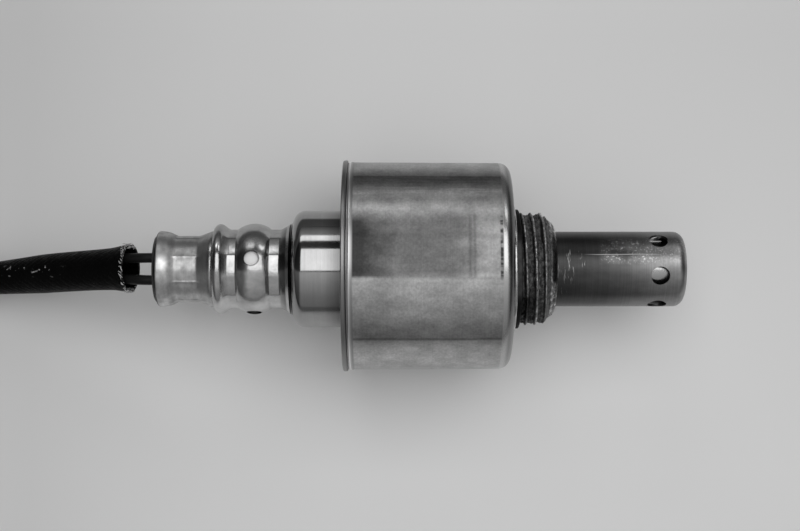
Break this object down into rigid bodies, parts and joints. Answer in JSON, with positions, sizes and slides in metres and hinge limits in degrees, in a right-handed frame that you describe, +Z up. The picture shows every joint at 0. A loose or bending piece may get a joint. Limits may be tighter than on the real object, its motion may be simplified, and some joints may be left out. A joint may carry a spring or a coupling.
{
  "type": "oxygen sensor",
  "caption": "Heated exhaust oxygen sensor: threaded hexagonal body in a deep heat shield, perforated tip, vented rear casing, and a sleeved lead folded flat to its plug.",
  "frame": {"origin": "centre of the thread, in the plane of the seat, where the gasket meets the exhaust boss", "axes": "+X along the thread towards the tip, +Z up from the surface that the sensor lies on, +Y to the left when looking along +X from above"},
  "size_m": [0.2156, 0.0602, 0.0336],
  "materials": {
    "housing": "turned and plated steel, worn",
    "gasket": "bright pressed steel",
    "heat_shield": "drawn stainless steel, brushed round",
    "outer_protection_tube": "heat-darkened steel",
    "inner_protection_tube": "bright drawn steel",
    "sensing_element": "zirconia, satin",
    "element_washer": "bright steel",
    "talc_packing": "pressed talc powder",
    "insulator_bush": "alumina",
    "packing_ring": "steel",
    "heater_rod": "alumina",
    "ceramic_separator": "alumina",
    "separator_spring": "spring steel",
    "inner_contact": "nickel-plated strip",
    "outer_contact": "nickel-plated strip",
    "heater_contact_1": "nickel-plated strip",
    "heater_contact_2": "nickel-plated strip",
    "main_casing": "drawn stainless steel, smooth",
    "vent_membrane": "porous white film",
    "filter_sleeve": "drawn stainless steel, smooth",
    "grommet": "fluorocarbon rubber",
    "braided_sleeve": "glass-fibre braid coated in black silicone rubber",
    "cord_tie": "black nylon band",
    "sleeve_hank": "glass-fibre braid coated in black silicone rubber",
    "connector_housing": "moulded, fine grain",
    "wire_seal": "silicone rubber",
    "pin_retainer": "moulded",
    "lead_wire_1": "fluoropolymer covering",
    "connector_wire_1": "fluoropolymer covering",
    "connector_pin_1": "tin-plated",
    "lead_wire_2": "fluoropolymer covering",
    "connector_wire_2": "fluoropolymer covering",
    "connector_pin_2": "tin-plated",
    "lead_wire_3": "fluoropolymer covering",
    "connector_wire_3": "fluoropolymer covering",
    "connector_pin_3": "tin-plated",
    "lead_wire_4": "fluoropolymer covering",
    "connector_wire_4": "fluoropolymer covering",
    "connector_pin_4": "tin-plated"
  },
  "bodies": {
    "root": {"housing": "housing", "gasket": "gasket", "heat_shield": "heat_shield", "outer_protection_tube": "outer_protection_tube", "inner_protection_tube": "inner_protection_tube", "sensing_element": "sensing_element", "element_washer": "element_washer", "talc_packing": "talc_packing", "insulator_bush": "insulator_bush", "packing_ring": "packing_ring", "heater_rod": "heater_rod", "ceramic_separator": "ceramic_separator", "separator_spring": "separator_spring", "inner_contact": "inner_contact", "outer_contact": "outer_contact", "heater_contact_1": "heater_contact_1", "heater_contact_2": "heater_contact_2", "main_casing": "main_casing", "vent_membrane": "vent_membrane", "filter_sleeve": "filter_sleeve", "grommet": "grommet", "braided_sleeve": "braided_sleeve", "cord_tie": "cord_tie", "sleeve_hank": "sleeve_hank", "connector_housing": "connector_housing", "wire_seal": "wire_seal", "pin_retainer": "pin_retainer", "lead_wire_1": "lead_wire_1", "connector_wire_1": "connector_wire_1", "connector_pin_1": "connector_pin_1", "lead_wire_2": "lead_wire_2", "connector_wire_2": "connector_wire_2", "connector_pin_2": "connector_pin_2", "lead_wire_3": "lead_wire_3", "connector_wire_3": "connector_wire_3", "connector_pin_3": "connector_pin_3", "lead_wire_4": "lead_wire_4", "connector_wire_4": "connector_wire_4", "connector_pin_4": "connector_pin_4"}
  },
  "joints": []
}
